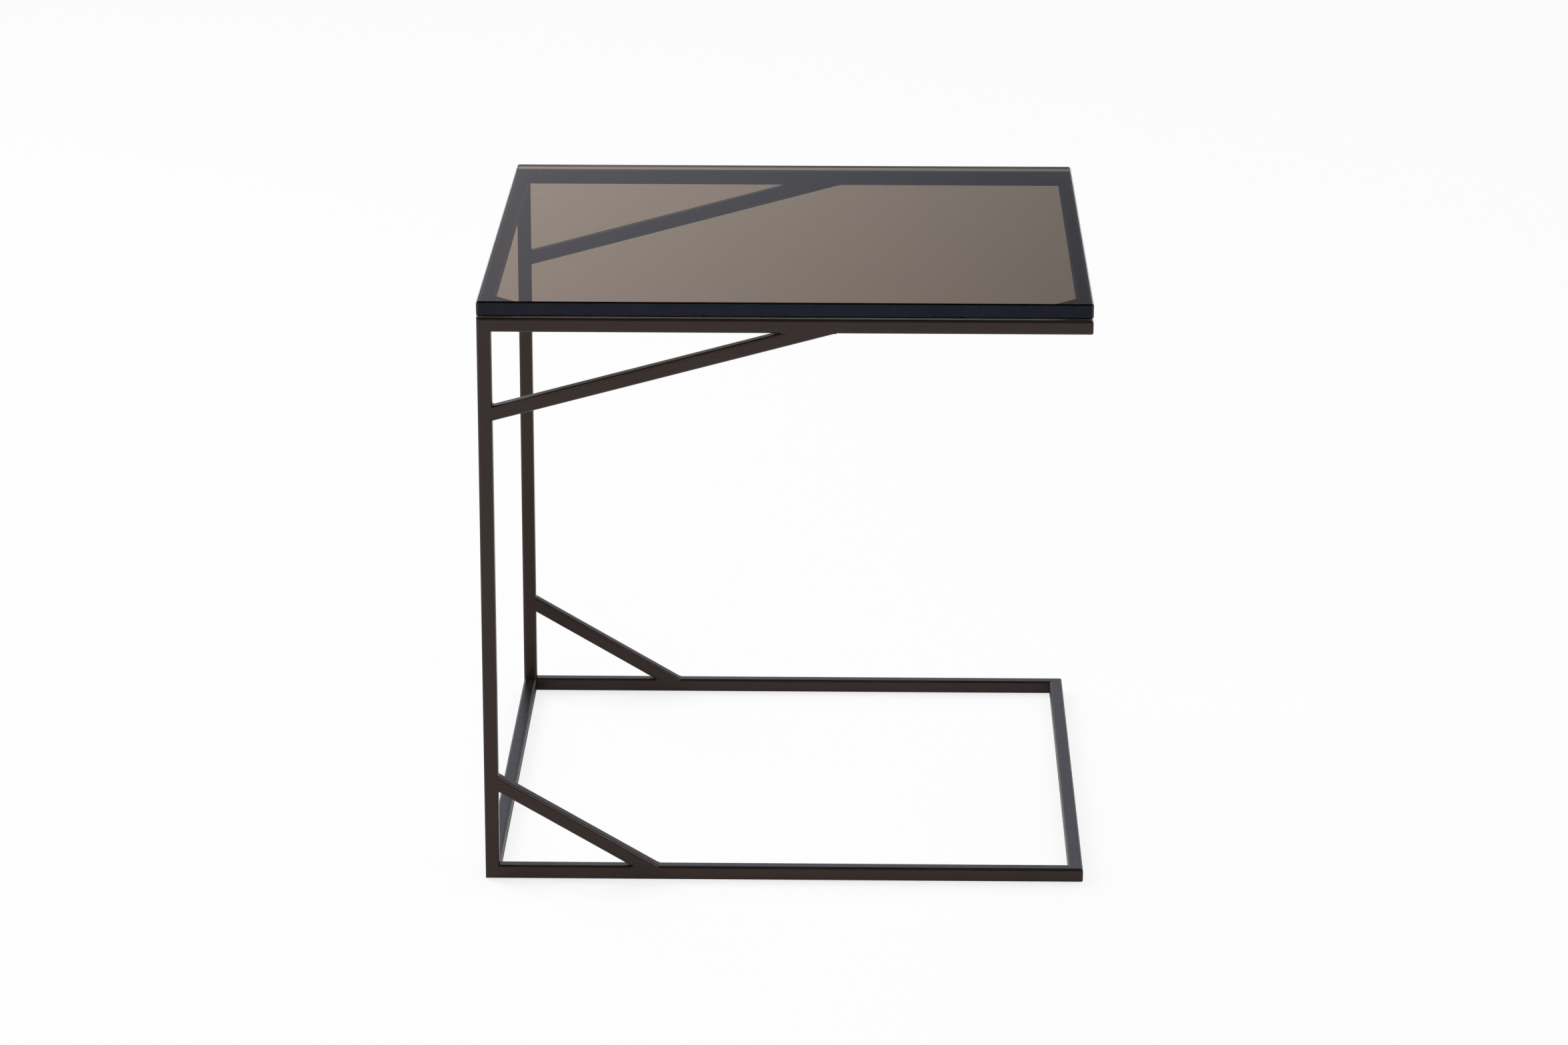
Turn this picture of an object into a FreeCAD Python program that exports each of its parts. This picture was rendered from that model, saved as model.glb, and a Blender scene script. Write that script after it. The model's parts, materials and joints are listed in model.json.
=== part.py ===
import FreeCAD, Part
import math
import os

import Sketcher

# Side table with a C-shaped side view: a welded frame of square steel tube and a loose glass top.
# +X runs from the posts to the open end, +Y to the rear and +Z up, in millimetres.
# The origin lies on the floor, under the middle of the table.

# Driving dimensions, in millimetres and degrees
SIZES = {
    "table_width": 508,
    "table_depth": 508,
    "table_height": 508,
    "tube_side": 12,
    "tube_wall": 1.2,
    "tube_corner": 2.4,
    "corner_dressing": 2,
    "top_brace_angle": 15,
    "top_brace_drop": 76.3,
    "base_brace_angle": 30.5,
    "base_brace_rise": 66,
    "weld_radius": 1.6,
    "toe_weld_radius": 0.9,
    "plate_leg": 26,
    "plate_thickness": 3,
    "plate_recess": 0.5,
    "glass_thickness": 12.7,
    "glass_gap": 1.5,
    "glass_corner": 2,
    "glass_arris": 1.2,
    "bumper_diameter": 7,
    "bumper_bevel": 0.8,
    "stem_diameter": 4,
    "barb_diameter": 5,
    "barb_length": 2.4,
    "barb_tip_diameter": 2.4,
    "glide_diameter": 9,
    "glide_height": 1.2,
    "glide_bevel": 0.5,
    "glide_inset": 32,
    "push_clearance": 0.15,
}

doc = FreeCAD.newDocument("side_table")
dims = doc.addObject("Spreadsheet::Sheet", "dims")
for row, (alias, size) in enumerate(SIZES.items(), start=1):
    dims.set(f"A{row}", alias.replace("_", " "))
    dims.set(f"B{row}", str(size))
    dims.setAlias(f"B{row}", alias)
doc.recompute()

# Places and levels, as expressions of the driving dimensions
SIDE = "dims.tube_side"
HALF_SIDE = "dims.tube_side / 2"
LEFT = "-dims.table_width / 2"
RIGHT = "dims.table_width / 2"
FRONT = "-dims.table_depth / 2"
REAR = "dims.table_depth / 2"
POST_FACE = f"({LEFT} + {SIDE})"
BASE_BOTTOM = "dims.glide_height"
BASE_TOP = f"({BASE_BOTTOM} + {SIDE})"
GLASS_BOTTOM = "(dims.table_height - dims.glass_thickness)"
FRAME_TOP = f"({GLASS_BOTTOM} - dims.glass_gap)"
FRAME_UNDERSIDE = f"({FRAME_TOP} - {SIDE})"
PLATE_TOP = f"({FRAME_TOP} - dims.plate_recess)"
PLATE_HOLE = "(dims.plate_leg / 4)"
STEM_HOLE = "(dims.stem_diameter / 2 + dims.push_clearance)"

# Tube directions: the tube's own Z turned to the table's X or Y
ALONG_X = FreeCAD.Rotation(FreeCAD.Vector(1, 1, 1), 120)
ALONG_Y = FreeCAD.Rotation(FreeCAD.Vector(1, 1, 1), 240)
UPRIGHT = FreeCAD.Rotation()
X_AXIS = FreeCAD.Vector(1, 0, 0)
Y_AXIS = FreeCAD.Vector(0, 1, 0)
Z_AXIS = FreeCAD.Vector(0, 0, 1)

# Sketcher's numbers for a sketch's own axes, and for an edge's start, end and centre
UP_AXIS, ACROSS_AXIS = range(-2, 0)
START, END, CENTRE = range(1, 4)

# Saw angle of a mitre between two tubes at right angles
MITRE = "45"

nodes = []


def value(expression):
    """The present value of an expression, as a plain number."""
    return float(dims.evalExpression(expression))


def new_body(label, is_node=True):
    body = doc.addObject("PartDesign::Body", label)
    body.Label = label
    if is_node:
        nodes.append(body)
    return body


def sketch_on(body, plane, name):
    """A sketch on one of the body's own origin planes."""
    support = next(item for item in body.Origin.OriginFeatures if item.Role == plane)
    sketch = body.newObject("Sketcher::SketchObject", f"{body.Label}_{name}")
    sketch.AttachmentSupport = (support, [""])
    sketch.MapMode = "FlatFace"
    return sketch


def drive(sketch, constraint, name, expression):
    """Adds a dimension that follows the sheet."""
    index = sketch.addConstraint(constraint)
    sketch.renameConstraint(index, name)
    sketch.setExpression(f"Constraints.{name}", expression)


def outline(sketch, corners):
    """A closed outline of straight lines, with both coordinates of each corner driven."""
    points = [FreeCAD.Vector(value(across), value(up), 0) for across, up in corners]
    ends = points[1:] + points[:1]
    lines = sketch.addGeometry([Part.LineSegment(a, b) for a, b in zip(points, ends)])
    following = lines[1:] + lines[:1]
    for line, after in zip(lines, following):
        sketch.addConstraint(Sketcher.Constraint("Coincident", line, END, after, START))
    for line, (across, up), point in zip(lines, corners, points):
        if across == "0":
            sketch.addConstraint(Sketcher.Constraint("PointOnObject", line, START, UP_AXIS))
        else:
            drive(sketch, Sketcher.Constraint("DistanceX", line, START, point.x), f"across_{line}", across)
        if up == "0":
            sketch.addConstraint(Sketcher.Constraint("PointOnObject", line, START, ACROSS_AXIS))
        else:
            drive(sketch, Sketcher.Constraint("DistanceY", line, START, point.y), f"up_{line}", up)


def rectangle(sketch, half_across, half_up):
    """A rectangle centred on the sketch's origin."""
    low_across, low_up = f"-({half_across})", f"-({half_up})"
    corners = [(low_across, low_up), (half_across, low_up), (half_across, half_up), (low_across, half_up)]
    outline(sketch, corners)


def circle(sketch, radius, across, up):
    """A circle whose centre and radius follow the sheet."""
    centre = FreeCAD.Vector(value(across), value(up), 0)
    ring = sketch.addGeometry(Part.Circle(centre, Z_AXIS, value(radius)))
    drive(sketch, Sketcher.Constraint("Radius", ring, value(radius)), "radius", radius)
    for kind, name, expression, place in (
        ("DistanceX", "across", across, centre.x),
        ("DistanceY", "up", up, centre.y),
    ):
        if expression == "0":
            axis = UP_AXIS if kind == "DistanceX" else ACROSS_AXIS
            sketch.addConstraint(Sketcher.Constraint("PointOnObject", ring, CENTRE, axis))
        else:
            drive(sketch, Sketcher.Constraint(kind, ring, CENTRE, place), name, expression)


def pad(body, sketch, length, symmetric=False):
    feature = body.newObject("PartDesign::Pad", f"{sketch.Label}_pad")
    feature.Profile = sketch
    feature.SideType = "Symmetric" if symmetric else "One side"
    feature.setExpression("Length", length)
    doc.recompute()
    return feature


def pocket(body, sketch, both_ways=True):
    """Cuts the sketch's outline through the body, and makes sure that it did."""
    before = body.Shape.Volume
    feature = body.newObject("PartDesign::Pocket", f"{sketch.Label}_pocket")
    feature.Profile = sketch
    feature.Type = "ThroughAll"
    feature.SideType = "Symmetric" if both_ways else "One side"
    doc.recompute()
    if body.Shape.Volume >= before:
        raise RuntimeError(f"{feature.Label} removes nothing")
    return feature


def round_edges(body, base, edges, radius):
    """Rounds edges of the body's last feature."""
    feature = body.newObject("PartDesign::Fillet", f"{base.Label}_rounding")
    feature.Base = (base, edges)
    feature.setExpression("Radius", radius)
    doc.recompute()
    return feature


def upright(direction):
    """Whether a direction lies nearer to the body's own Z than to the plane across it."""
    return abs(direction.z) > math.hypot(direction.x, direction.y)


def upright_edges(shape):
    """Names of the edges that run along the body's own Z."""
    return [
        f"Edge{number}"
        for number, edge in enumerate(shape.Edges, start=1)
        if upright(edge.tangentAt(edge.FirstParameter))
    ]


def place(body, x, y, z, rotation=UPRIGHT):
    """Puts a body at a place that follows the sheet."""
    body.Placement = FreeCAD.Placement(FreeCAD.Vector(value(x), value(y), value(z)), rotation)
    for axis, expression in zip("xyz", (x, y, z)):
        body.setExpression(f"Placement.Base.{axis}", expression)


def turn_about_y(body, angle):
    """Turns a placed body about the table's Y by an angle that follows the sheet."""
    body.Placement = FreeCAD.Placement(body.Placement.Base, FreeCAD.Rotation(Y_AXIS, value(angle)))
    body.setExpression("Placement.Rotation.Angle", angle)


def bore_edges(shape):
    """Names of the edges along a tube's bore, which lie inside all its outer faces."""
    outside = value(HALF_SIDE) - value("dims.tube_wall") / 2
    corners = []
    for number, edge in enumerate(shape.Edges, start=1):
        start = edge.valueAt(edge.FirstParameter)
        if upright(edge.tangentAt(edge.FirstParameter)) and max(abs(start.x), abs(start.y)) < outside:
            corners.append(f"Edge{number}")
    return corners


def square_tube(label, length):
    """A length of hollow square tube with rounded corners, along its own Z."""
    body = new_body(label)
    section = sketch_on(body, "XY_Plane", "section")
    rectangle(section, HALF_SIDE, HALF_SIDE)
    bar = pad(body, section, length)
    round_edges(body, bar, upright_edges(bar.Shape), "dims.tube_corner")
    bore = sketch_on(body, "XY_Plane", "bore")
    half_bore = f"{HALF_SIDE} - dims.tube_wall"
    rectangle(bore, half_bore, half_bore)
    hollow = pocket(body, bore)
    round_edges(body, hollow, bore_edges(hollow.Shape), "dims.tube_corner - dims.tube_wall")
    return body


def saw_cut(body, plane, long_side, angle, far_end=None):
    """Saws an end off at an angle from square. The long side keeps its full length.

    The waste is a right triangle with a margin of half a side all round.
    The cut passes the tube's start, or its far end where a length is given.
    """
    slope = f"tan({angle})"
    near = f"-{HALF_SIDE} * {slope}"
    deep = f"3 * {HALF_SIDE} * {slope}"
    if far_end:
        near = f"({far_end}) + {HALF_SIDE} * {slope}"
        deep = f"({far_end}) - 3 * {HALF_SIDE} * {slope}"
    name = "far_waste" if far_end else "near_waste"
    waste = sketch_on(body, plane, name)
    outline(
        waste,
        [
            (f"{-long_side} * {SIDE}", near),
            (f"{long_side} * {SIDE}", near),
            (f"{-long_side} * {SIDE}", deep),
        ],
    )
    pocket(body, waste)


def hollow_corner(sketch, corner, first_way, second_way, radius):
    """Two legs from a corner and an arc that touches both, with the second leg left of the first.

    Returns the legs' numbers in the sketch.
    """
    half_angle = first_way.getAngle(second_way) / 2
    hollow = value(radius)
    leg = hollow / math.tan(half_angle)
    inward = (first_way + second_way).normalize()
    deepest = corner + inward * (hollow / math.sin(half_angle) - hollow)
    first_end = corner + first_way * leg
    second_end = corner + second_way * leg
    first, second, arc = sketch.addGeometry(
        [
            Part.LineSegment(corner, first_end),
            Part.LineSegment(corner, second_end),
            Part.Arc(second_end, deepest, first_end),
        ]
    )
    sketch.addConstraint(Sketcher.Constraint("Coincident", second, START, first, START))
    sketch.addConstraint(Sketcher.Constraint("Tangent", first, END, arc, END))
    sketch.addConstraint(Sketcher.Constraint("Tangent", second, END, arc, START))
    drive(sketch, Sketcher.Constraint("Radius", arc, hollow), "hollow", radius)
    return first, second


def dress_corner(body, plane, long_side, far_end=None):
    """Rounds the upright arris that a flat mitre leaves at an end, as a dressed weld does."""
    name = "far_dressing" if far_end else "near_dressing"
    sketch = sketch_on(body, plane, name)
    corner = FreeCAD.Vector(long_side * value(HALF_SIDE), value(far_end) if far_end else 0, 0)
    across = FreeCAD.Vector(-long_side, 0, 0)
    along = FreeCAD.Vector(0, -1 if far_end else 1, 0)
    ways = (across, along) if across.cross(along).z > 0 else (along, across)
    legs = hollow_corner(sketch, corner, *ways, "dims.corner_dressing")
    for leg, way in zip(legs, ways):
        sketch.addConstraint(Sketcher.Constraint("Horizontal" if way.x else "Vertical", leg))
    first = legs[0]
    edge = Sketcher.Constraint("DistanceX", first, START, corner.x)
    drive(sketch, edge, "edge", f"{long_side} * {HALF_SIDE}")
    if far_end:
        drive(sketch, Sketcher.Constraint("DistanceY", first, START, corner.y), "end", far_end)
    else:
        sketch.addConstraint(Sketcher.Constraint("PointOnObject", first, START, ACROSS_AXIS))
    pocket(body, sketch)


def posts():
    """Uprights, mitred into the rails at both ends."""
    length = f"{FRAME_TOP} - {BASE_BOTTOM}"
    for label, y in (("front_post", f"{FRONT} + {HALF_SIDE}"), ("rear_post", f"{REAR} - {HALF_SIDE}")):
        body = square_tube(label, length)
        saw_cut(body, "XZ_Plane", -1, MITRE)
        saw_cut(body, "XZ_Plane", -1, MITRE, length)
        place(body, f"{LEFT} + {HALF_SIDE}", y, BASE_BOTTOM)


def long_rails():
    """Rails from the posts to the open end, mitred upright at the post and flat at the open end."""
    length = "dims.table_width"
    levels = {"base": (BASE_BOTTOM, -1), "top": (FRAME_UNDERSIDE, 1)}
    sides = {"front": (f"{FRONT} + {HALF_SIDE}", -1), "rear": (f"{REAR} - {HALF_SIDE}", 1)}
    for level, (bottom, outer_up) in levels.items():
        for side, (y, outer_across) in sides.items():
            body = square_tube(f"{side}_{level}_rail", length)
            saw_cut(body, "YZ_Plane", outer_up, MITRE)
            saw_cut(body, "XZ_Plane", outer_across, MITRE, length)
            dress_corner(body, "XZ_Plane", outer_across, length)
            place(body, LEFT, y, f"{bottom} + {HALF_SIDE}", ALONG_X)


def cross_rails():
    """Rails from front to rear: butted between the posts, and mitred at the open end."""
    full = "dims.table_depth"
    between_posts = f"({full} - 2 * {SIDE})"
    for level, bottom in (("base", BASE_BOTTOM), ("top", FRAME_UNDERSIDE)):
        middle = f"{bottom} + {HALF_SIDE}"
        left = square_tube(f"left_{level}_rail", between_posts)
        place(left, f"{LEFT} + {HALF_SIDE}", f"{FRONT} + {SIDE}", middle, ALONG_Y)
        right = square_tube(f"right_{level}_rail", full)
        saw_cut(right, "YZ_Plane", 1, MITRE)
        saw_cut(right, "YZ_Plane", 1, MITRE, full)
        dress_corner(right, "YZ_Plane", 1)
        dress_corner(right, "YZ_Plane", 1, full)
        place(right, f"{RIGHT} - {HALF_SIDE}", FRONT, middle, ALONG_Y)
        if level == "base":
            glide_holes(left, between_posts, f"(dims.glide_inset - {SIDE})")
            glide_holes(right, full, "dims.glide_inset")


def glide_holes(rail, length, inset):
    """Holes through the underside of a cross rail, one near each end."""
    for name, along in (("near_hole", inset), ("far_hole", f"{length} - {inset}")):
        sketch = sketch_on(rail, "YZ_Plane", name)
        circle(sketch, STEM_HOLE, "0", along)
        pocket(rail, sketch, both_ways=False)


# Brace corners: where each brace's edges meet the post and the rail
TOP_ANGLE = "dims.top_brace_angle"
TOP_SLANT = f"({SIDE} / cos({TOP_ANGLE}))"
TOP_BRACE_LOW = f"({FRAME_UNDERSIDE} - dims.top_brace_drop)"
TOP_BRACE_HIGH = f"({TOP_BRACE_LOW} + {TOP_SLANT})"
TOP_BRACE_TOE = f"({POST_FACE} + (dims.top_brace_drop - {TOP_SLANT}) / tan({TOP_ANGLE}))"
BASE_ANGLE = "dims.base_brace_angle"
BASE_SLANT = f"({SIDE} / cos({BASE_ANGLE}))"
BASE_BRACE_HIGH = f"({BASE_TOP} + dims.base_brace_rise + {BASE_SLANT})"
BASE_BRACE_TOE = f"({POST_FACE} + dims.base_brace_rise / tan({BASE_ANGLE}))"
SIDE_PLANES = {"front": f"{FRONT} + {HALF_SIDE}", "rear": f"{REAR} - {HALF_SIDE}"}


def braces():
    """Slanted tubes in the side frames, sawn to seat flat on the post and on the rail."""
    top_length = f"dims.top_brace_drop / sin({TOP_ANGLE})"
    base_length = f"({BASE_BRACE_HIGH} - {BASE_TOP}) / sin({BASE_ANGLE})"
    for side, y in SIDE_PLANES.items():
        top = square_tube(f"{side}_top_brace", top_length)
        saw_cut(top, "XZ_Plane", 1, TOP_ANGLE)
        saw_cut(top, "XZ_Plane", 1, f"90 - {TOP_ANGLE}", top_length)
        start_x = f"{POST_FACE} - {HALF_SIDE} * sin({TOP_ANGLE})"
        start_z = f"{TOP_BRACE_LOW} + {HALF_SIDE} * cos({TOP_ANGLE})"
        place(top, start_x, y, start_z)
        turn_about_y(top, f"90 - {TOP_ANGLE}")

        base = square_tube(f"{side}_base_brace", base_length)
        saw_cut(base, "XZ_Plane", -1, BASE_ANGLE)
        saw_cut(base, "XZ_Plane", -1, f"90 - {BASE_ANGLE}", base_length)
        start_x = f"{POST_FACE} - {HALF_SIDE} * sin({BASE_ANGLE})"
        start_z = f"{BASE_BRACE_HIGH} - {HALF_SIDE} * cos({BASE_ANGLE})"
        place(base, start_x, y, start_z)
        turn_about_y(base, f"90 + {BASE_ANGLE}")


# Flat width of a tube's side, lengths of the sawn ends on the rail, and middles of all the sawn ends
FLAT = f"({SIDE} - 2 * dims.tube_corner)"
TOP_SEAT = f"({SIDE} / sin({TOP_ANGLE}))"
BASE_SEAT = f"({SIDE} / sin({BASE_ANGLE}))"
TOP_POST_MIDDLE = f"({TOP_BRACE_HIGH} - {TOP_SLANT} / 2)"
TOP_RAIL_MIDDLE = f"({POST_FACE} + (dims.top_brace_drop - {TOP_SLANT} / 2) / tan({TOP_ANGLE}))"
BASE_POST_MIDDLE = f"({BASE_BRACE_HIGH} - {BASE_SLANT} / 2)"
BASE_RAIL_MIDDLE = f"({POST_FACE} + (dims.base_brace_rise + {BASE_SLANT} / 2) / tan({BASE_ANGLE}))"


def weld_fillet(label, corner_angle, radius):
    """A hollow fillet of weld in a corner: one leg along its own X, the other at the corner's angle."""
    body = new_body(label, is_node=False)
    sketch = sketch_on(body, "XZ_Plane", "throat")
    slanted = FreeCAD.Rotation(Z_AXIS, value(corner_angle)).multVec(X_AXIS)
    first, second = hollow_corner(sketch, FreeCAD.Vector(), X_AXIS, slanted, radius)
    sketch.addConstraint(Sketcher.Constraint("Coincident", first, START, ACROSS_AXIS, START))
    sketch.addConstraint(Sketcher.Constraint("Horizontal", first))
    opening = Sketcher.Constraint("Angle", first, START, second, START, X_AXIS.getAngle(slanted))
    drive(sketch, opening, "opening", f"({corner_angle}) * 1 deg")
    pad(body, sketch, FLAT, symmetric=True)
    return body


def flush_weld(label, length):
    """Weld ground flush in the groove beside a tube's rounded corner, along its own Z.

    Its flat sides run from the origin along its own X and Y, and its hollow side lies on the tube.
    """
    body = new_body(label, is_node=False)
    sketch = sketch_on(body, "XY_Plane", "groove")
    first, second = hollow_corner(sketch, FreeCAD.Vector(), X_AXIS, Y_AXIS, "dims.tube_corner")
    sketch.addConstraint(Sketcher.Constraint("Coincident", first, START, ACROSS_AXIS, START))
    sketch.addConstraint(Sketcher.Constraint("Horizontal", first))
    sketch.addConstraint(Sketcher.Constraint("Vertical", second))
    pad(body, sketch, length, symmetric=True)
    return body


def flush_welds(side, near, far):
    """Flush welds as long as the sawn brace ends of one side frame, on its near and its far face."""
    spin = {turns: FreeCAD.Rotation(Z_AXIS, 90 * turns) for turns in range(4)}
    joints = {
        "top_post": (TOP_SLANT, POST_FACE, TOP_POST_MIDDLE, spin[1], spin[2]),
        "base_post": (BASE_SLANT, POST_FACE, BASE_POST_MIDDLE, spin[1], spin[2]),
        "top_rail": (TOP_SEAT, TOP_RAIL_MIDDLE, FRAME_UNDERSIDE, ALONG_X, ALONG_X * spin[1]),
        "base_rail": (BASE_SEAT, BASE_RAIL_MIDDLE, BASE_TOP, ALONG_X * spin[3], ALONG_X * spin[2]),
    }
    welds = []
    for name, (length, x, z, near_turn, far_turn) in joints.items():
        for face, y, turn in (("near", near, near_turn), ("far", far, far_turn)):
            weld = flush_weld(f"{side}_{name}_{face}_weld", length)
            place(weld, x, y, z, turn)
            welds.append(weld)
    return welds


def brace_welds():
    """Welds round the brace ends, as one node of separate solids."""
    wide, narrow = "dims.weld_radius", "dims.toe_weld_radius"
    corners = {
        "top_post_weld": (f"90 - {TOP_ANGLE}", wide, POST_FACE, TOP_BRACE_HIGH, f"-{TOP_ANGLE}"),
        "top_toe_weld": (TOP_ANGLE, narrow, TOP_BRACE_TOE, FRAME_UNDERSIDE, "180"),
        "base_post_weld": (f"90 + {BASE_ANGLE}", wide, POST_FACE, BASE_BRACE_HIGH, BASE_ANGLE),
        "base_toe_weld": (BASE_ANGLE, narrow, BASE_BRACE_TOE, BASE_TOP, f"180 + {BASE_ANGLE}"),
    }
    welds = []
    for side, y in SIDE_PLANES.items():
        for name, (corner_angle, radius, x, z, turn) in corners.items():
            weld = weld_fillet(f"{side}_{name}", corner_angle, radius)
            place(weld, x, y, z)
            turn_about_y(weld, turn)
            welds.append(weld)
    welds += flush_welds("front", FRONT, f"{FRONT} + {SIDE}")
    welds += flush_welds("rear", f"{REAR} - {SIDE}", REAR)
    group = doc.addObject("Part::Compound", "brace_welds")
    group.Links = welds
    nodes.append(group)


# Corners of the top frame, counted round from the front left: inner corner and quarter turns
TOP_CORNERS = {
    "front_left": (POST_FACE, f"({FRONT} + {SIDE})", 1, 1, 0),
    "front_right": (f"({RIGHT} - {SIDE})", f"({FRONT} + {SIDE})", -1, 1, 90),
    "rear_right": (f"({RIGHT} - {SIDE})", f"({REAR} - {SIDE})", -1, -1, 180),
    "rear_left": (POST_FACE, f"({REAR} - {SIDE})", 1, -1, 270),
}


def corner_plates():
    """Triangular plates welded into the corners of the top frame, each with a hole for its bumper."""
    for name, (x, y, _, _, turn) in TOP_CORNERS.items():
        body = new_body(f"corner_plate_{name}")
        sketch = sketch_on(body, "XY_Plane", "triangle")
        outline(sketch, [("0", "0"), ("dims.plate_leg", "0"), ("0", "dims.plate_leg")])
        pad(body, sketch, "dims.plate_thickness")
        hole = sketch_on(body, "XY_Plane", "hole")
        circle(hole, STEM_HOLE, PLATE_HOLE, PLATE_HOLE)
        pocket(body, hole)
        place(body, x, y, f"{PLATE_TOP} - dims.plate_thickness", FreeCAD.Rotation(Z_AXIS, turn))


def turned_piece(label, profile):
    """A round piece: a profile of radius and height, turned about its own Z."""
    body = new_body(label)
    sketch = sketch_on(body, "XZ_Plane", "profile")
    outline(sketch, profile)
    feature = body.newObject("PartDesign::Revolution", f"{label}_turning")
    feature.Profile = sketch
    feature.ReferenceAxis = (sketch, ["V_Axis"])
    feature.Angle = 360
    doc.recompute()
    return body


def push_in_profile(radius, height, bevel, grip):
    """A head standing on Z = 0, with a barbed stem below it that grips a plate or a wall."""
    neck = f"-({grip} + dims.push_clearance)"
    tip = f"{neck} - dims.barb_length"
    return [
        ("0", height),
        (f"{radius} - {bevel}", height),
        (radius, f"{height} - {bevel}"),
        (radius, "0"),
        ("dims.stem_diameter / 2", "0"),
        ("dims.stem_diameter / 2", neck),
        ("dims.barb_diameter / 2", neck),
        ("dims.barb_tip_diameter / 2", tip),
        ("0", tip),
    ]


def bumpers():
    """Clear bumpers that carry the glass, pushed down into the corner plates."""
    profile = push_in_profile(
        "dims.bumper_diameter / 2",
        "dims.glass_gap + dims.plate_recess",
        "dims.bumper_bevel",
        "dims.plate_thickness",
    )
    for name, (x, y, toward_x, toward_y, _) in TOP_CORNERS.items():
        body = turned_piece(f"bumper_{name}", profile)
        place(body, f"{x} + {toward_x} * {PLATE_HOLE}", f"{y} + {toward_y} * {PLATE_HOLE}", PLATE_TOP)


def glides():
    """Floor glides pushed up into the cross rails of the base, heads down."""
    profile = push_in_profile(
        "dims.glide_diameter / 2", "dims.glide_height", "dims.glide_bevel", "dims.tube_wall"
    )
    sides = {"front": f"{FRONT} + dims.glide_inset", "rear": f"{REAR} - dims.glide_inset"}
    ends = {"left": f"{LEFT} + {HALF_SIDE}", "right": f"{RIGHT} - {HALF_SIDE}"}
    for side, y in sides.items():
        for end, x in ends.items():
            body = turned_piece(f"glide_{side}_{end}", profile)
            place(body, x, y, BASE_BOTTOM, FreeCAD.Rotation(Y_AXIS, 180))


def glass_top():
    """Glass slab as wide and deep as the frame, with dubbed corners and a polished arris."""
    body = new_body("glass_top")
    sketch = sketch_on(body, "XY_Plane", "outline")
    rectangle(sketch, RIGHT, REAR)
    slab = pad(body, sketch, "dims.glass_thickness")
    rounded = round_edges(body, slab, upright_edges(slab.Shape), "dims.glass_corner")
    faces = [
        f"Face{number}"
        for number, face in enumerate(rounded.Shape.Faces, start=1)
        if upright(face.normalAt(0, 0))
    ]
    arris = body.newObject("PartDesign::Chamfer", "glass_top_arris")
    arris.Base = (rounded, faces)
    arris.setExpression("Size", "dims.glass_arris")
    place(body, "0", "0", GLASS_BOTTOM)


posts()
long_rails()
cross_rails()
braces()
brace_welds()
corner_plates()
bumpers()
glides()
glass_top()
doc.recompute()

for item in doc.Objects:
    if {"Invalid", "Error"} & set(item.State):
        raise RuntimeError(f"{item.Label} did not build: {item.State}")
for node in nodes:
    if node.Shape.isNull() or not node.Shape.isValid():
        raise RuntimeError(f"{node.Label} has no valid shape")

os.makedirs("parts", exist_ok=True)
for node in nodes:
    node.Shape.exportStep(f"parts/{node.Label}.step")
    print(f"{node.Label}: {len(node.Shape.Solids)} solid(s), {node.Shape.Volume:.1f} mm3")
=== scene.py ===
# %% [markdown]
# # A C-shaped side table in a plain studio
#
# The table is a welded frame of thin square steel tube, painted dark bronze, with a slab of bronze
# glass lying loose on top. Its side view is the letter C, so the base slides under a sofa and the
# top comes over the seat. The solids come from the CAD model, in metres, with the origin on the
# floor under the middle of the table. This script gives them their finishes, builds the studio
# round them and sets up the camera.

# %% Load the solids
import json
import math

import bpy
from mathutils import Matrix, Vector


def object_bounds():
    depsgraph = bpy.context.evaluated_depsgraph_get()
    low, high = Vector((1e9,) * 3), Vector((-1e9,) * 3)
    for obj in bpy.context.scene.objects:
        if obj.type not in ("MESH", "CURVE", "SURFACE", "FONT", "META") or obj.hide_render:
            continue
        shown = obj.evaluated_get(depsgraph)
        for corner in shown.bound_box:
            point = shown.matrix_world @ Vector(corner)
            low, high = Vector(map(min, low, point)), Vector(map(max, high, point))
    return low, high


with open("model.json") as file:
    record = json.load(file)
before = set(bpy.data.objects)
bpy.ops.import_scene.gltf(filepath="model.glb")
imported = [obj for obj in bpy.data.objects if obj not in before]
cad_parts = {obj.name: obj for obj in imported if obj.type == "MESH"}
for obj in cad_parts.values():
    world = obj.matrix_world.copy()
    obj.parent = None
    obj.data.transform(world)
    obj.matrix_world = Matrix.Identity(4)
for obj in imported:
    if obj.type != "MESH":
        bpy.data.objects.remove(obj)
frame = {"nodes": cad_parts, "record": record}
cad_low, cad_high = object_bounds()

nodes = frame["nodes"]
cad_sides = [round(1000 * side) for side in cad_high - cad_low]
print(f"{len(nodes)} solids, {cad_sides} mm over all")

# %% [markdown]
# ## Which solid is made of what
#
# A finish belongs to a material and not to one piece: every tube, plate and weld went through the
# same paint line after welding. The record that comes with the solids already says which slot each
# of them uses. So the solids are sorted by slot once, and each finish is then given to a whole
# slot.

# %% Sort the solids by finish
solids_by_slot = {}
for subpart in frame["record"]["subparts"]:
    solids_by_slot.setdefault(subpart["material_slot"], []).append(nodes[subpart["node"]])


def finish_slot(slot, material):
    """Gives one material to every solid of a slot."""
    for solid in solids_by_slot[slot]:
        solid.data.materials.clear()
        solid.data.materials.append(material)
    print(f"{material.name} on {len(solids_by_slot[slot])} solids")


for slot, solids in solids_by_slot.items():
    print(slot, len(solids))

# %% [markdown]
# ## Tools for the finishes
#
# Each finish is a small node tree that ends in one Principled shader. Nodes could be added and
# wired line by line, but a tree is easier to read when a whole node is one call. So these helpers
# put plain values, colours or other nodes' outputs on a node's sockets by their names, with an
# underscore for each space.

# %% Node helpers


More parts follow.
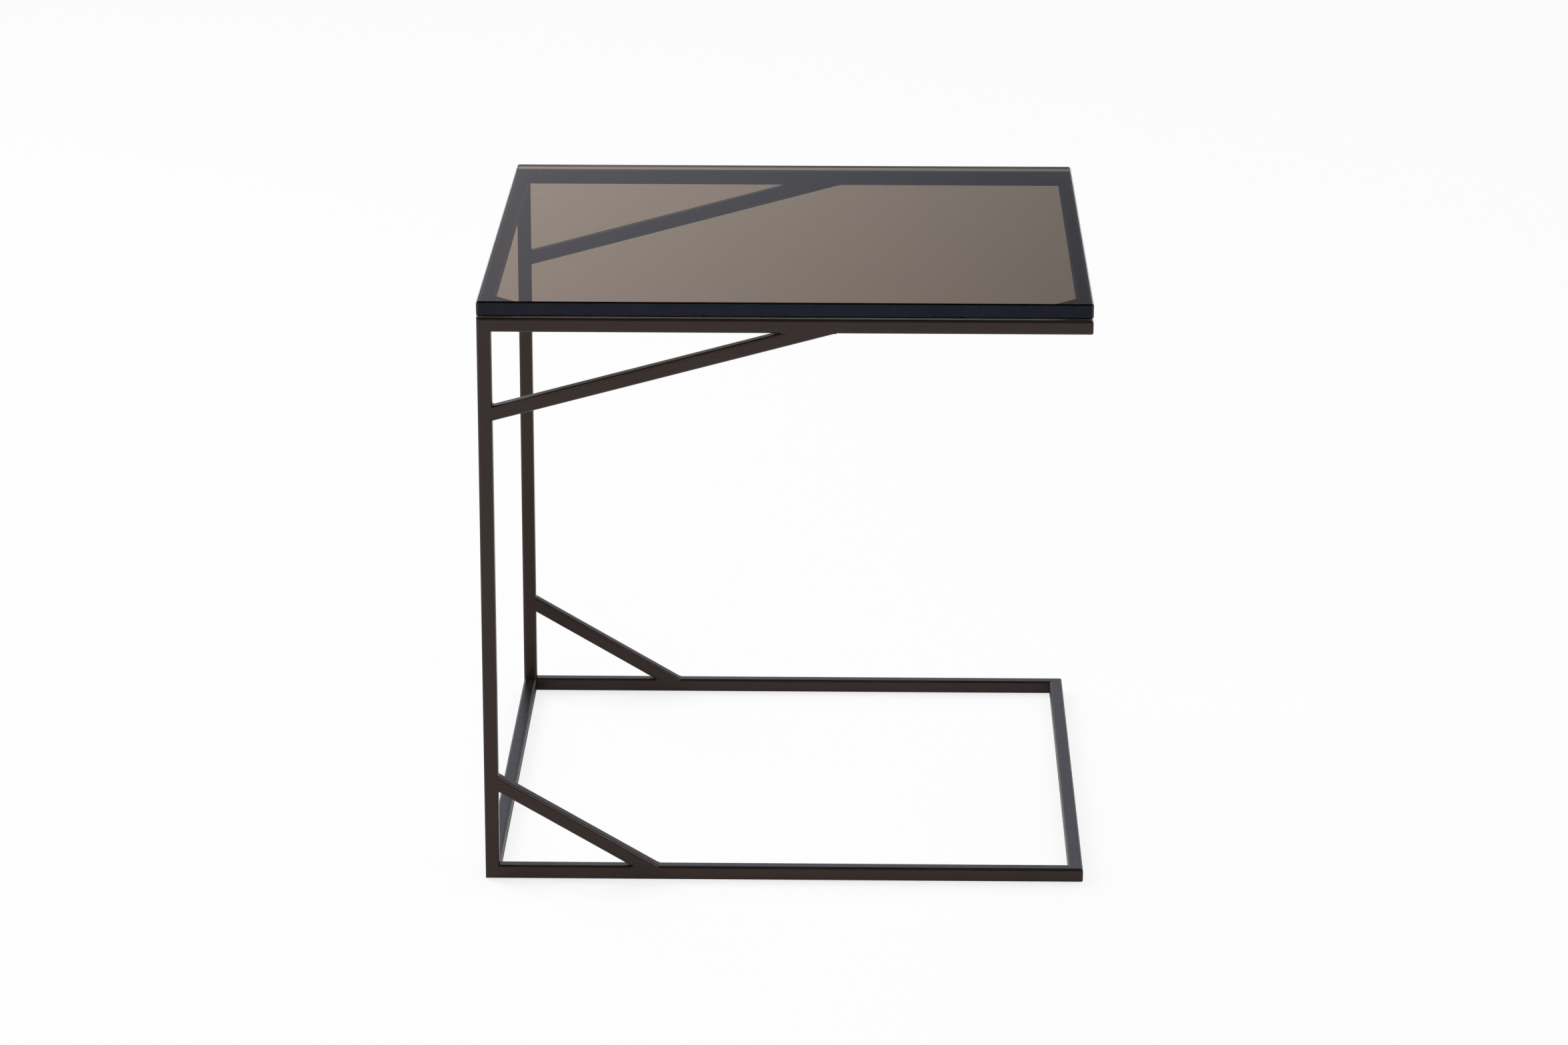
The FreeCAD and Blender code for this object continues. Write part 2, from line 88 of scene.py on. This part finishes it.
def plug(tree, source, socket):
    """Puts a plain value, a colour of three numbers or another node's output on a socket."""
    if isinstance(source, bpy.types.NodeSocket):
        tree.links.new(source, socket)
    elif socket.type == "RGBA":
        socket.default_value = (*source, 1)
    else:
        socket.default_value = source


def fill(tree, node, **inputs):
    """Plugs several sockets of a node, each by its name."""
    for name, source in inputs.items():
        plug(tree, source, node.inputs[name.replace("_", " ")])


def add_node(tree, kind, settings=None, **inputs):
    """A new node. Settings are its menus, and inputs go to its sockets."""
    node = tree.nodes.new(kind)
    for name, choice in (settings or {}).items():
        setattr(node, name, choice)
    fill(tree, node, **inputs)
    return node


def start_material(name):
    """A new material, its node tree and its Principled shader."""
    material = bpy.data.materials.new(name)
    material.use_nodes = True
    tree = material.node_tree
    return material, tree, tree.nodes["Principled BSDF"]


print("node helpers ready")

# %% [markdown]
# ## Tools for the patterns
#
# No real surface is one even colour, so every finish varies with a noise. The noise uses object
# coordinates, which are metres here, so a scale of 1000 means grains of about a millimetre. Noise
# keeps near the middle of its range, so its middle is stretched over the values that a finish
# needs.

# %% Pattern helpers
NOISE_MIDDLE = 0.3, 0.7
MIX_FIRST, MIX_SECOND, MIX_RESULT = 6, 7, 2


def slope(tree, along, start, end, low, high):
    """A value that goes from low to high as another one goes from start to end."""
    ends = {"From_Min": start, "From_Max": end, "To_Min": low, "To_Max": high}
    return add_node(tree, "ShaderNodeMapRange", Value=along, **ends).outputs["Result"]


def noise_in_metres(tree, scale, detail=2.0):
    """Noise on the object's own coordinates, as a factor around a half."""
    place = add_node(tree, "ShaderNodeTexCoord").outputs["Object"]
    noise = add_node(tree, "ShaderNodeTexNoise", Vector=place, Scale=scale, Detail=detail)
    return noise.outputs["Fac"]


def spread(tree, factor, low, high):
    """Stretches the middle of a noise over a range of values."""
    return slope(tree, factor, *NOISE_MIDDLE, low, high)


def two_tones(tree, factor, first, second):
    """A colour between two, by a factor."""
    mix = add_node(tree, "ShaderNodeMix", {"data_type": "RGBA"}, Factor=factor)
    plug(tree, first, mix.inputs[MIX_FIRST])
    plug(tree, second, mix.inputs[MIX_SECOND])
    return mix.outputs[MIX_RESULT]


print("a noise is stretched from", NOISE_MIDDLE)

# %% [markdown]
# ## Bronze paint
#
# The frame is powder coated: a dry powder is sprayed on and baked, and it flows into a tough satin
# skin that is never quite flat. Close up it has the pebbled surface called orange peel, with bumps
# about a millimetre across. The pigment is nearly black, and the bronze is in the sheen, because
# fine flakes of metal under the skin tint what it mirrors. So the base colour is dark and the tint
# is on the reflection. A photograph of a painted tube would only fit one tube, so the skin is made
# from noise, which fits them all: a slow noise for the tone, a finer one for the gloss, and the
# finest for the pebbles.

# %% Paint the frame
PAINT_DEEP = (0.0095, 0.0068, 0.0064)
PAINT_WARM = (0.0135, 0.0095, 0.0088)
BRONZE_SHEEN = (1.0, 0.74, 0.66)
SATIN = 0.27, 0.33
TONE_SCALE, GLOSS_SCALE, PEEL_SCALE = 14, 120, 900

paint, tree, shader = start_material("bronze_powder_coat")
tone = spread(tree, noise_in_metres(tree, TONE_SCALE), 0, 1)
pebbles = noise_in_metres(tree, PEEL_SCALE)
peel = add_node(tree, "ShaderNodeBump", Height=pebbles, Strength=0.12, Distance=0.0004)
fill(
    tree,
    shader,
    Base_Color=two_tones(tree, tone, PAINT_DEEP, PAINT_WARM),
    Roughness=spread(tree, noise_in_metres(tree, GLOSS_SCALE), *SATIN),
    Normal=peel.outputs["Normal"],
    Specular_IOR_Level=0.55,
    Specular_Tint=BRONZE_SHEEN,
)
finish_slot("frame_paint", paint)

# %% [markdown]
# ## Bronze glass
#
# The top is half-inch glass, tinted all the way through. Its faces are polished, and its edges are
# ground flat with a fine chamfer and then polished too, a little less well. The tint isn't a colour
# on the surface: light loses some of itself for every millimetre of glass it crosses, blue most of
# all. So the shader is clear, and an absorption inside the solid does the tinting. Straight through
# the slab about half of the light is left. In from the edge the way is so long that almost nothing
# is, which is why the edge looks black.

# %% Tint and polish the glass
WHITE = (1, 1, 1)
GLASS_DENSITY = 82
GLASS_TINT = (0.451, 0.258, 0.018)
EDGE_POLISH = 0.06
FACE_SMEAR = 0.004
SMEAR_SCALE, SMEAR_DETAIL = 9, 4
EDGE_TO_FACE = 0.8, 0.95


def maths(tree, operation, *sources):
    """What a Math node makes of one or two values."""
    node = add_node(tree, "ShaderNodeMath", {"operation": operation})
    for source, socket in zip(sources, node.inputs):
        plug(tree, source, socket)
    return node.outputs["Value"]


glass, tree, shader = start_material("bronze_glass")
facing = add_node(tree, "ShaderNodeNewGeometry").outputs["Normal"]
facing_up = add_node(tree, "ShaderNodeSeparateXYZ", Vector=facing).outputs["Z"]
flatness = maths(tree, "ABSOLUTE", facing_up)
smear = spread(tree, noise_in_metres(tree, SMEAR_SCALE, SMEAR_DETAIL), 0, FACE_SMEAR)
polish = slope(tree, flatness, *EDGE_TO_FACE, EDGE_POLISH, smear)
fill(tree, shader, Base_Color=WHITE, Roughness=polish, IOR=1.52, Transmission_Weight=1)
absorb = add_node(tree, "ShaderNodeVolumeAbsorption", Color=GLASS_TINT, Density=GLASS_DENSITY)
fill(tree, tree.nodes["Material Output"], Volume=absorb.outputs["Volume"])
finish_slot("smoked_glass", glass)

# %% [markdown]
# ## Bumpers and glides
#
# Four soft vinyl bumpers carry the glass, and four hard nylon glides carry the table. Both are
# small, cheap mouldings in nearly colourless plastic. Vinyl is clearer and a little sticky, so it
# is smooth and lets light through. Nylon is milky, so light spreads a few millimetres inside it,
# and its foot is scuffed by the floor.

# %% Mould the small parts
VINYL_TINT = (0.93, 0.93, 0.9)
VINYL_HAZE = 0.12, 0.22
NYLON_TONES = (0.72, 0.72, 0.69), (0.8, 0.8, 0.78)
NYLON_SCUFFS = 0.4, 0.6
NYLON_DEPTH = 0.002
HAZE_SCALE, MILK_SCALE, SCUFF_SCALE = 400, 300, 1500

vinyl, tree, shader = start_material("clear_vinyl")
haze = spread(tree, noise_in_metres(tree, HAZE_SCALE), *VINYL_HAZE)
fill(tree, shader, Base_Color=VINYL_TINT, Roughness=haze, IOR=1.5, Transmission_Weight=0.9)
finish_slot("bumper", vinyl)

nylon, tree, shader = start_material("milky_nylon")
milk = spread(tree, noise_in_metres(tree, MILK_SCALE), 0, 1)
fill(
    tree,
    shader,
    Base_Color=two_tones(tree, milk, *NYLON_TONES),
    Roughness=spread(tree, noise_in_metres(tree, SCUFF_SCALE), *NYLON_SCUFFS),
    Subsurface_Weight=0.3,
    Subsurface_Radius=(NYLON_DEPTH, NYLON_DEPTH, NYLON_DEPTH),
)
finish_slot("glide", nylon)

# %% [markdown]
# ## The floor
#
# The picture has a white ground with only a breath of shadow at the rails. A white floor that is
# only lit never comes out even, and more light to force it white would wash out the table. So this
# floor is a mix of two. One is a pale matt floor, which takes light and shadow like any other. The
# other is a glow at the strength that is exactly white, and only what the camera sees gets it,
# straight on, mirrored or through the glass.

# %% Lay the floor
FLOOR_REACH = 12
FLOOR_TONES = (0.86, 0.86, 0.86), (0.88, 0.88, 0.88)
SPECK_SCALE, SPECK_DETAIL = 3, 3

bpy.ops.mesh.primitive_circle_add(vertices=96, radius=FLOOR_REACH, fill_type="NGON")
floor = bpy.context.object
floor.name = "studio_floor"

ground, tree, matt_floor = start_material("white_ground")
speck = spread(tree, noise_in_metres(tree, SPECK_SCALE, SPECK_DETAIL), 0, 1)
matt_tone = two_tones(tree, speck, *FLOOR_TONES)
fill(tree, matt_floor, Base_Color=matt_tone, Roughness=0.9, Specular_IOR_Level=0.1)
floor.data.materials.append(ground)
print("floor", FLOOR_REACH, "m to its edge")

# %% [markdown]
# ## Where the floor glows less
#
# Beside the rails the glow gives way to the matt floor, so that their shadow stays. An ambient
# occlusion node measures how open each spot is, and the glow is cut where a spot is less open: that
# dip is painted shade, on top of the matt floor's own shadow. For what the camera sees, it leans
# towards the back, where the light comes from, so it is mostly the near side of a rail that is
# shaded. A reflection shows the shade of the whole table, so for that the node looks much further
# up.

# %% Shade the glow
FLOOR_GLOW = 0.95
CONTACT_GLOW = 0.7
CONTACT_REACH = 0.05
SHADE_GLOW = 0.3
SHADE_REACH = 0.7
DEEPEST_SHADE = 0.7


def choose(tree, which, first, second):
    """One value where a factor is 0, and another where it is 1."""
    return slope(tree, which, 0, 1, first, second)


ray = add_node(tree, "ShaderNodeLightPath").outputs
to_light = add_node(tree, "ShaderNodeCombineXYZ", X=0, Y=0.9, Z=0.44).outputs["Vector"]
beside = add_node(tree, "ShaderNodeAmbientOcclusion", Distance=CONTACT_REACH, Normal=to_light)
under = add_node(tree, "ShaderNodeAmbientOcclusion", Distance=SHADE_REACH)
# Painted shade: the glow dips beside the rails and, in reflections, under the whole table.
glow_with_painted_contact_shade = slope(tree, beside.outputs["AO"], 0, 1, CONTACT_GLOW, FLOOR_GLOW)
glow_with_painted_table_shade = slope(tree, under.outputs["AO"], DEEPEST_SHADE, 1, SHADE_GLOW, FLOOR_GLOW)
glow_share = choose(tree, ray["Is Glossy Ray"], glow_with_painted_contact_shade, glow_with_painted_table_shade)
print("glow from", CONTACT_GLOW, "beside a rail to", FLOOR_GLOW, "in the open")

# %% [markdown]
# ## What glass and paint show of the floor
#
# The white floor of a photograph is burnt out: one side of it may be brighter, and both still come
# out white. Through dark glass the difference shows. Here the slab is lightest at its far left
# corner, on the side of the window. So the glow that is seen through the glass fades to the right
# and to the front, a painted falloff of light. Past the second bounce, as for light from the slab's
# edge inside, the glow is cut down hard: that is painted shade, which keeps the edge dark. Dark
# paint shows such differences too: the lower a piece is, the nearer is the floor that it mirrors,
# and near the table the mirrored glow is painted a little darker, a painted shade. Each fade below
# says where it starts and ends, in metres or in bounces, and the glow at both ends.

# %% Let the glow fade
FADE_TO_RIGHT = -0.4, 0.35, 1.0, 0.575
FADE_FROM_FRONT = 1.7, 2.5, 0.79, 1.0
PAINTED_SHADE_NEAR_TABLE = 0.5, 1.3, 0.75, 1.0
PAINTED_EDGE_SHADE = 2, 3, 1.0, 0.15

spot = add_node(tree, "ShaderNodeTexCoord").outputs["Object"]
spot_parts = add_node(tree, "ShaderNodeSeparateXYZ", Vector=spot).outputs
# Painted falloff of light: the glow seen through the glass is darker to the right and to the front.
across = slope(tree, spot_parts["X"], *FADE_TO_RIGHT)
along = slope(tree, spot_parts["Y"], *FADE_FROM_FRONT)
painted_falloff_in_glass = choose(tree, ray["Is Transmission Ray"], 1, maths(tree, "MULTIPLY", across, along))

# Painted shade in reflections: the glow that the paint mirrors is darker near the table.
from_middle = add_node(tree, "ShaderNodeVectorMath", {"operation": "LENGTH"}, Vector=spot)
painted_shade_near_table = slope(tree, from_middle.outputs["Value"], *PAINTED_SHADE_NEAR_TABLE)
mirrored = choose(tree, ray["Is Glossy Ray"], 1, painted_shade_near_table)

# Painted shade for the glass edge: the floor glows far less for rays at a depth of three or more.
painted_edge_shade = slope(tree, ray["Ray Depth"], *PAINTED_EDGE_SHADE)
seen_in_glass = maths(tree, "MULTIPLY", painted_falloff_in_glass, painted_edge_shade)
glow_strength = maths(tree, "MULTIPLY", seen_in_glass, mirrored)
print("glow at the right of the glass", FADE_TO_RIGHT[-1])

# %% [markdown]
# ## Mix the floor
#
# The light path tells a ray from the camera, a mirrored one and one through glass from the light
# that only bounces about. The first three get the glow, and the last sees just the matt floor, so
# the glow never lights the table.

# %% Mix glow and matt floor
MATT_PLACE, GLOW_PLACE = 1, 2

seen = maths(tree, "MAXIMUM", ray["Is Camera Ray"], ray["Is Glossy Ray"])
seen = maths(tree, "MAXIMUM", seen, ray["Is Transmission Ray"])
glow = add_node(tree, "ShaderNodeEmission", Color=WHITE, Strength=glow_strength)
mixed = add_node(tree, "ShaderNodeMixShader", Fac=maths(tree, "MULTIPLY", seen, glow_share))
plug(tree, matt_floor.outputs["BSDF"], mixed.inputs[MATT_PLACE])
plug(tree, glow.outputs["Emission"], mixed.inputs[GLOW_PLACE])
fill(tree, tree.nodes["Material Output"], Surface=mixed.outputs["Shader"])
print(len(tree.nodes), "nodes in the floor")

# %% [markdown]
# ## The studio round it
#
# Satin paint and glass show their surroundings, so the room matters as much as the lamps. A real
# studio has walls, screens and windows, and a picture of one could be wrapped round the scene. Here
# a soft sweep in bands is enough, and every band can be tuned. Each sky below is a list of colours
# by height, where 0 is the horizon and 1 is straight up. It is white at the horizon, where it has
# to meet the floor. A little higher it is grey, lighter on the left, and the glass mirrors that.
# Above it lies a pale blue band that the upper faces of the rails mirror. In front of the table the
# sky soon turns dark. The rounded edges of the tubes mirror that part, and their dark lines make
# the frame look crisp.

# %% Choose the bands of the sky
SKY_LEFT = {
    0.0: (1.0, 1.0, 1.0),
    0.1: (0.8, 0.81, 0.84),
    0.2: (0.32, 0.345, 0.39),
    0.28: (0.235, 0.23, 0.27),
    0.34: (0.72, 0.84, 1.0),
    0.45: (0.64, 0.74, 0.9),
    0.65: (0.25, 0.26, 0.29),
    0.85: (0.06, 0.06, 0.07),
}
SKY_RIGHT = {
    0.0: (1.0, 1.0, 1.0),
    0.1: (0.7, 0.71, 0.74),
    0.2: (0.14, 0.165, 0.2),
    0.28: (0.05, 0.055, 0.075),
    0.34: (0.72, 0.84, 1.0),
    0.45: (0.62, 0.72, 0.88),
    0.65: (0.22, 0.23, 0.26),
    0.85: (0.05, 0.05, 0.06),
}
SKY_FRONT = {
    0.0: (1.0, 1.0, 1.0),
    0.1: (0.5, 0.5, 0.52),
    0.3: (0.14, 0.14, 0.16),
    0.6: (0.04, 0.04, 0.05),
}
print("sky in", len(SKY_LEFT), "bands behind the table and", len(SKY_FRONT), "in front")

# %% [markdown]
# ## Sweep from sky to sky
#
# The three skies meet in soft sweeps, from left to right behind the table and from the front to the
# back. Where a sweep starts and ends is given by the direction's own X or Y.

# %% Sweep the sky
LEFT_TO_RIGHT = -0.11, 0.09
FRONT_TO_BACK = -0.15, 0.25


def sky_colours(tree, height, stops):
    """Colours by the height of a direction."""
    ramp = add_node(tree, "ShaderNodeValToRGB", Fac=height)
    elements = ramp.color_ramp.elements
    while len(elements) < len(stops):
        elements.new(1.0)
    for element, (place, colour) in zip(elements, stops.items()):
        element.position = place
        element.color = (*colour, 1)
    return ramp.outputs["Color"]


def sweep_between(tree, along, start, end, first, second):
    """Sweeps from one colour to another as a direction's coordinate goes from start to end."""
    gently = {"interpolation_type": "SMOOTHSTEP"}
    turn = add_node(tree, "ShaderNodeMapRange", gently, Value=along, From_Min=start, From_Max=end)
    return two_tones(tree, turn.outputs["Result"], first, second)


world = bpy.data.worlds.new("studio_sweep")
bpy.context.scene.world = world
world.use_nodes = True
tree = world.node_tree
way = add_node(tree, "ShaderNodeTexCoord").outputs["Generated"]
way_parts = add_node(tree, "ShaderNodeSeparateXYZ", Vector=way).outputs
skies = SKY_LEFT, SKY_RIGHT, SKY_FRONT
left, right, front = (sky_colours(tree, way_parts["Z"], sky) for sky in skies)
behind_table = sweep_between(tree, way_parts["X"], *LEFT_TO_RIGHT, left, right)
all_round = sweep_between(tree, way_parts["Y"], *FRONT_TO_BACK, front, behind_table)
fill(tree, tree.nodes["Background"], Color=all_round, Strength=1.0)
print(len(tree.nodes), "nodes in the sky")

# %% [markdown]
# ## Soft lamps
#
# Three soft lamps do the rest. The largest stands on the left and a little behind the table, like
# a window. Its shadows fall to the right and towards the camera, and it is so far to the side that
# the rails don't mirror it. One in front lights the faces of the tubes, and one on the right draws
# a light line along the slanted braces of the base. The larger a lamp is, the softer are its
# shadows.

# %% Hang the lamps
TABLE_MIDDLE = (cad_low + cad_high) / 2


def soft_lamp(name, place, size, watts):
    """A square soft lamp that looks at the middle of the table."""
    data = bpy.data.lights.new(name, "AREA")
    data.shape = "SQUARE"
    data.size = size
    data.energy = watts
    lamp = bpy.data.objects.new(name, data)
    lamp.location = place
    lamp.rotation_euler = (TABLE_MIDDLE - Vector(place)).to_track_quat("-Z", "Y").to_euler()
    lamp.visible_camera = False
    bpy.context.scene.collection.objects.link(lamp)
    print(f"{name}, {size} m a side, {watts} W")


soft_lamp("window_lamp", place=(-2.6, 1.4, 2.4), size=1.8, watts=105)
soft_lamp("front_lamp", place=(-1.8, -2.6, 1.9), size=1.5, watts=25)
soft_lamp("edge_lamp", place=(1.43, -1.03, 1.84), size=1.0, watts=16)

# %% [markdown]
# ## A flag for the glass edge
#
# The front edge of the glass is a narrow mirror that faces the floor in front of the table. With a
# white floor it would look grey, where real tinted glass is photographed with a nearly black edge.
# A photographer puts a dark card there, just outside the picture, and calls it a flag. This one is
# seen by reflections only, so it takes no light from the table.

# %% Set up the flag
FLAG_WIDTH, FLAG_HEIGHT = 1.0, 0.1
FLAG_PLACE = 0, -1.25, 0.243
CARD_TONES = (0.34, 0.37, 0.5), (0.4, 0.43, 0.58)
NAP_SCALE = 200

bpy.ops.mesh.primitive_plane_add(size=1)
flag = bpy.context.object
flag.name = "edge_flag"
flag.scale = (FLAG_WIDTH, FLAG_HEIGHT, 1)
flag.location = FLAG_PLACE
flag.rotation_euler = (math.radians(90), 0, 0)
flag.visible_camera = False
flag.visible_diffuse = False
flag.visible_transmission = False
flag.visible_shadow = False

card, tree, shader = start_material("flag_card")
nap = spread(tree, noise_in_metres(tree, NAP_SCALE), 0, 1)
fill(tree, shader, Base_Color=two_tones(tree, nap, *CARD_TONES), Roughness=0.9)
flag.data.materials.append(card)
print("flag", round(cad_low.y - flag.location.y, 2), "m in front of the table")

# %% [markdown]
# ## The camera
#
# The picture looks along the table's open side from a little above, with a long lens, so the far
# rails are only slightly smaller than the near ones. The place and angles come from matching the
# tubes' edges with the photograph. The photograph is 2352 pixels wide, and the lens is given as
# the distance in pixels at which the picture plane would hang.

# %% Set up the camera
PHOTO_WIDTH = 2352
LENS_PIXELS = 7511.6
SENSOR_WIDTH = 36
CAMERA_PLACE = 0.0653, -4.2389, 1.5308
CAMERA_ANGLES = 73.0955, -0.0509, 0.9586

data = bpy.data.cameras.new("studio_camera")
data.sensor_width = SENSOR_WIDTH
data.lens = LENS_PIXELS / PHOTO_WIDTH * SENSOR_WIDTH
camera = bpy.data.objects.new("studio_camera", data)
camera.location = CAMERA_PLACE
camera.rotation_euler = [math.radians(angle) for angle in CAMERA_ANGLES]
bpy.context.scene.collection.objects.link(camera)
bpy.context.scene.camera = camera
bpy.context.scene.view_settings.view_transform = "Standard"
print("lens", round(data.lens, 1), "mm")
